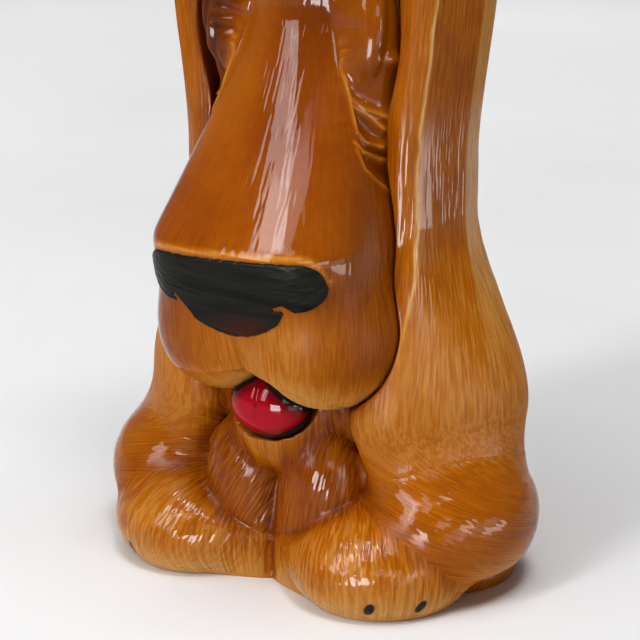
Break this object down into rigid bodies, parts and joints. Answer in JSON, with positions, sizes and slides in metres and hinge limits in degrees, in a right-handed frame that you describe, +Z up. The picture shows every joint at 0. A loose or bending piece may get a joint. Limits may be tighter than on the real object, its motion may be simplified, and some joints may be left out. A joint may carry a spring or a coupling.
{
  "type": "ceramic dog sculpture",
  "caption": "Sitting long-eared hound in glazed pottery: steep snout with a black nose, hanging ears, big turned-out paws and a flat base to stand on.",
  "frame": {"origin": "on the floor plane under the base, in the middle plane of the dog, 24 mm behind the foot of the chest", "axes": "+Z up, the dog faces -Y, its own left side is +X"},
  "size_m": [0.206, 0.1753, 0.3597],
  "materials": {
    "amber_glaze": "gloss",
    "chestnut_glaze": "gloss",
    "tan_glaze": "gloss",
    "black_glaze": "gloss",
    "red_glaze": "gloss",
    "white_glaze": "gloss"
  },
  "bodies": {
    "root": {"body": "chestnut_glaze", "head": "amber_glaze", "nose": "black_glaze", "lower_jaw": "amber_glaze", "tongue": "red_glaze", "left_ear": "chestnut_glaze", "right_ear": "chestnut_glaze", "left_eye": "white_glaze", "right_eye": "white_glaze", "left_eyelid": "amber_glaze", "right_eyelid": "amber_glaze", "left_foreleg": "amber_glaze", "right_foreleg": "amber_glaze", "left_forepaw": "tan_glaze", "right_forepaw": "tan_glaze", "left_haunch": "amber_glaze", "right_haunch": "amber_glaze", "left_hind_foot": "tan_glaze", "right_hind_foot": "tan_glaze", "tail": "chestnut_glaze"}
  },
  "joints": []
}
